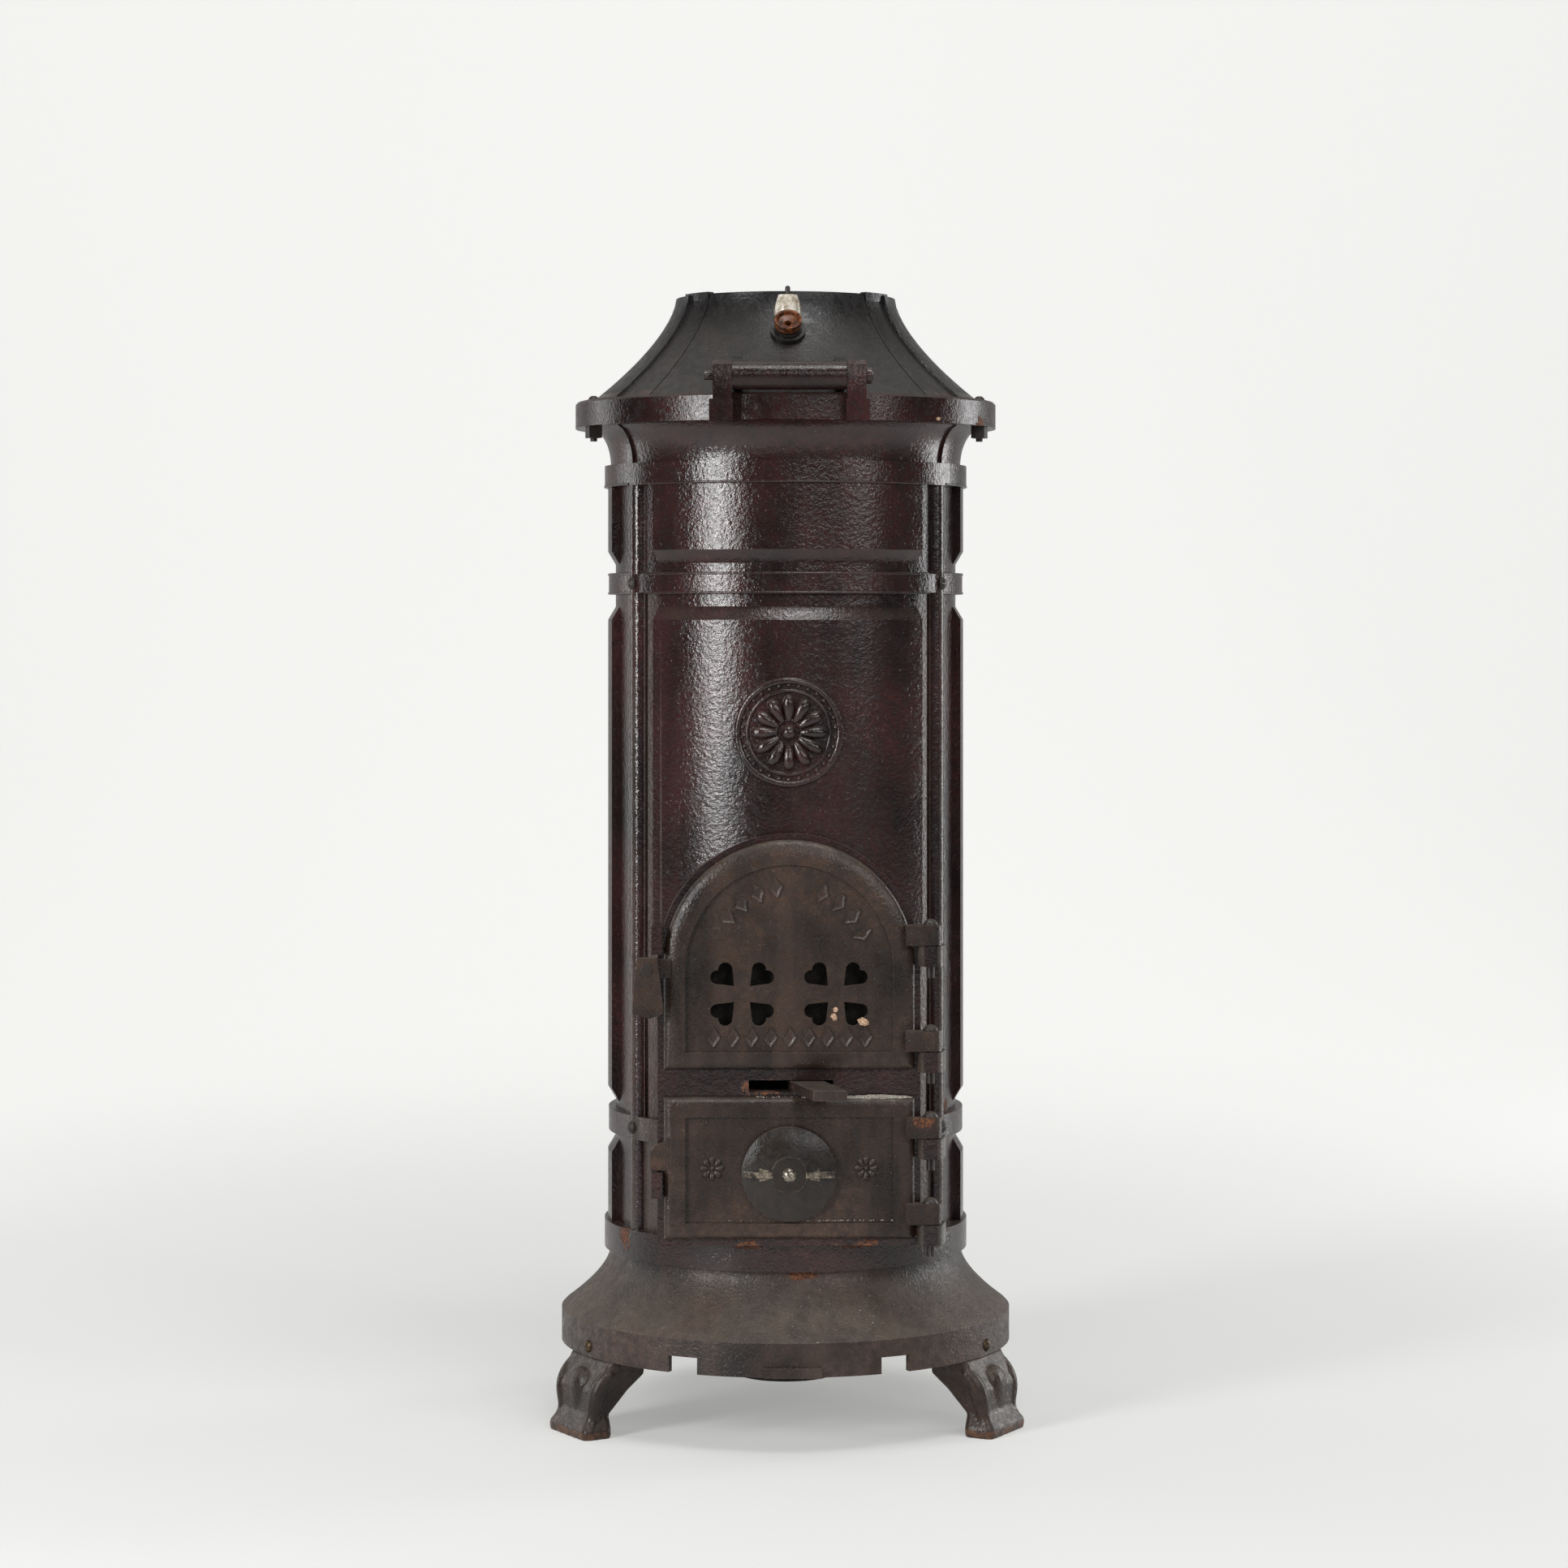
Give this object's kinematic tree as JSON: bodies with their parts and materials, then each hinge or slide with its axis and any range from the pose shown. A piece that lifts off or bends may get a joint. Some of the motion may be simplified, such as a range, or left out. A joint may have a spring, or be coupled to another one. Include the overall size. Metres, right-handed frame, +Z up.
{
  "type": "cast-iron column stove",
  "caption": "Round free-standing cast-iron stove on short feet, with hinged fire, ash and top fill doors, a draught disc, a shaker grate and a rear flue spigot.",
  "frame": {"origin": "on the stove's upright axis at floor level, under the middle of its overall length and width", "axes": "+Z up, the doors face -Y, the flue spigot points along +Y"},
  "size_m": [0.4106, 0.476, 0.9872],
  "materials": {
    "base_iron": "dull, dusty cast iron with rust at its edges",
    "body_iron": "dark purple-brown, glossy old blacking over pitted casting",
    "top_iron": "blue-grey worn blacking, heat-dulled",
    "door_iron": "matt brown-black cast iron with dust and rust spots",
    "hinge_iron": "dark rusted steel",
    "foot_screw_brass": "tarnished yellow-grey metal, bright at the slot",
    "inner_iron": "sooty burnt iron",
    "grate_iron": "burnt, rusty iron",
    "lever_iron": "bare iron worn and lightly rusted",
    "fire_brick": "sooted fired clay",
    "pan_steel": "sooty sheet steel with thin rust",
    "flue_iron": "dull dark cast iron",
    "knob_rust": "amber rust",
    "knob_china": "broken glazed china, stained"
  },
  "bodies": {
    "stove": {"base_ring": "base_iron", "ash_dish": "inner_iron", "foot_left": "base_iron", "foot_right": "base_iron", "foot_rear": "base_iron", "foot_screws": "foot_screw_brass", "front_panel": "body_iron", "left_panel": "body_iron", "right_panel": "body_iron", "seam_strip_left": "inner_iron", "seam_strip_right": "inner_iron", "seam_strip_rear": "inner_iron", "panel_screws": "hinge_iron", "cornice": "body_iron", "top_cone": "top_iron", "flange_bolts": "hinge_iron", "flange_nuts": "hinge_iron", "fill_hinge_pin": "hinge_iron", "fill_pin_split": "hinge_iron", "fire_pin_upper": "hinge_iron", "fire_pin_lower": "hinge_iron", "ash_pin_upper": "hinge_iron", "ash_pin_lower": "hinge_iron", "grate_ring": "inner_iron", "brick_left_front": "fire_brick", "brick_left_rear": "fire_brick", "brick_rear": "fire_brick", "brick_right_rear": "fire_brick", "brick_right_front": "fire_brick", "ash_floor": "inner_iron", "ash_pan": "pan_steel", "flue_collar": "flue_iron", "flue_bolts": "hinge_iron"},
    "fill_door": {"fill_door": "top_iron", "knob_cup": "knob_rust", "knob_shell": "knob_china", "knob_stud": "hinge_iron"},
    "fire_door": {"fire_door": "door_iron", "baffle_plate": "inner_iron", "baffle_spacers": "inner_iron", "baffle_screws": "inner_iron", "latch_rivet": "hinge_iron"},
    "latch": {"latch_handle": "door_iron"},
    "ash_door": {"ash_door": "door_iron", "draught_screw": "foot_screw_brass", "draught_nut": "inner_iron"},
    "draught_disc": {"draught_disc": "door_iron"},
    "grate": {"fire_grate": "grate_iron", "shaker_lever": "lever_iron", "lever_bolts": "inner_iron"}
  },
  "joints": [
    {"name": "fill_door_hinge", "type": "hinge", "parent": "stove", "child": "fill_door", "pos_m": [0, -0.182, 0.905], "axis": [1, 0, 0], "range_deg": [0, 110]},
    {"name": "fire_door_hinge", "type": "hinge", "parent": "stove", "child": "fire_door", "pos_m": [0.119, -0.1782, 0.38], "axis": [0, 0, 1], "range_deg": [0, 120]},
    {"name": "latch_pivot", "type": "hinge", "parent": "fire_door", "child": "latch", "pos_m": [-0.12, -0.185, 0.406], "axis": [0, 1, 0], "range_deg": [0, 75]},
    {"name": "ash_door_hinge", "type": "hinge", "parent": "stove", "child": "ash_door", "pos_m": [0.119, -0.1782, 0.23], "axis": [0, 0, 1], "range_deg": [0, 120]},
    {"name": "draught_disc_turn", "type": "hinge", "parent": "ash_door", "child": "draught_disc", "pos_m": [0, -0.1773, 0.233], "axis": [0, -1, 0], "continuous": true},
    {"name": "grate_shake", "type": "hinge", "parent": "stove", "child": "grate", "pos_m": [0, 0, 0.304], "axis": [0, 0, 1], "range_deg": [-11.5, 2]}
  ]
}
